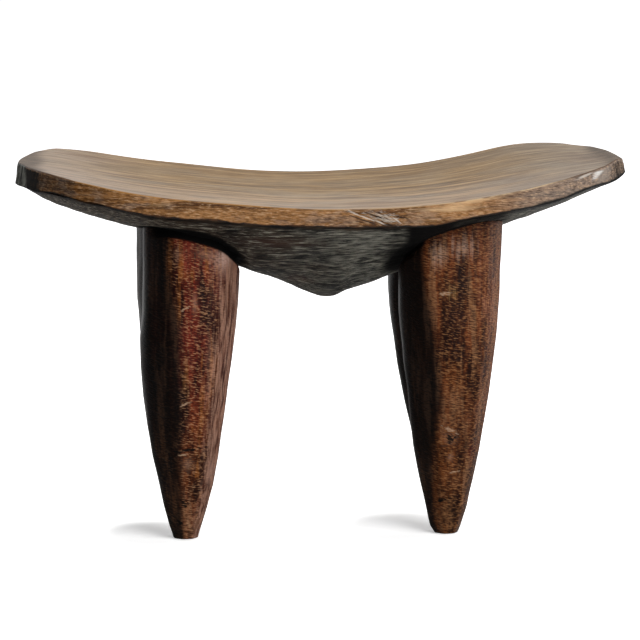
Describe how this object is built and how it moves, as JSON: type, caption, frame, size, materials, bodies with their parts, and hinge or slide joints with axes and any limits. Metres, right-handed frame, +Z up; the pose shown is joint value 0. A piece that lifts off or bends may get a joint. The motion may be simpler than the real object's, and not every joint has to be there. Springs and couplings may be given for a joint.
{
  "type": "stool",
  "caption": "Low carved wooden stool: long saddle seat with swept-up ends, keeled underside and swelling legs that taper to small flat feet.",
  "frame": {"origin": "on the floor, under the middle of the seat's outline", "axes": "+Z up, X along the seat with +X to the right as seen from the front, -Y to the front"},
  "size_m": [0.509, 0.262, 0.3065],
  "materials": {
    "seat_wood": "rubbed, low sheen from use",
    "underside_wood": "adze cut, dark smoke patina",
    "leg_wood": "dark red-brown patina with worn patches"
  },
  "bodies": {
    "root": {"seat": "seat_wood", "keel": "underside_wood", "leg_front_left": "leg_wood", "leg_front_right": "leg_wood", "leg_back_left": "leg_wood", "leg_back_right": "leg_wood"}
  },
  "joints": []
}
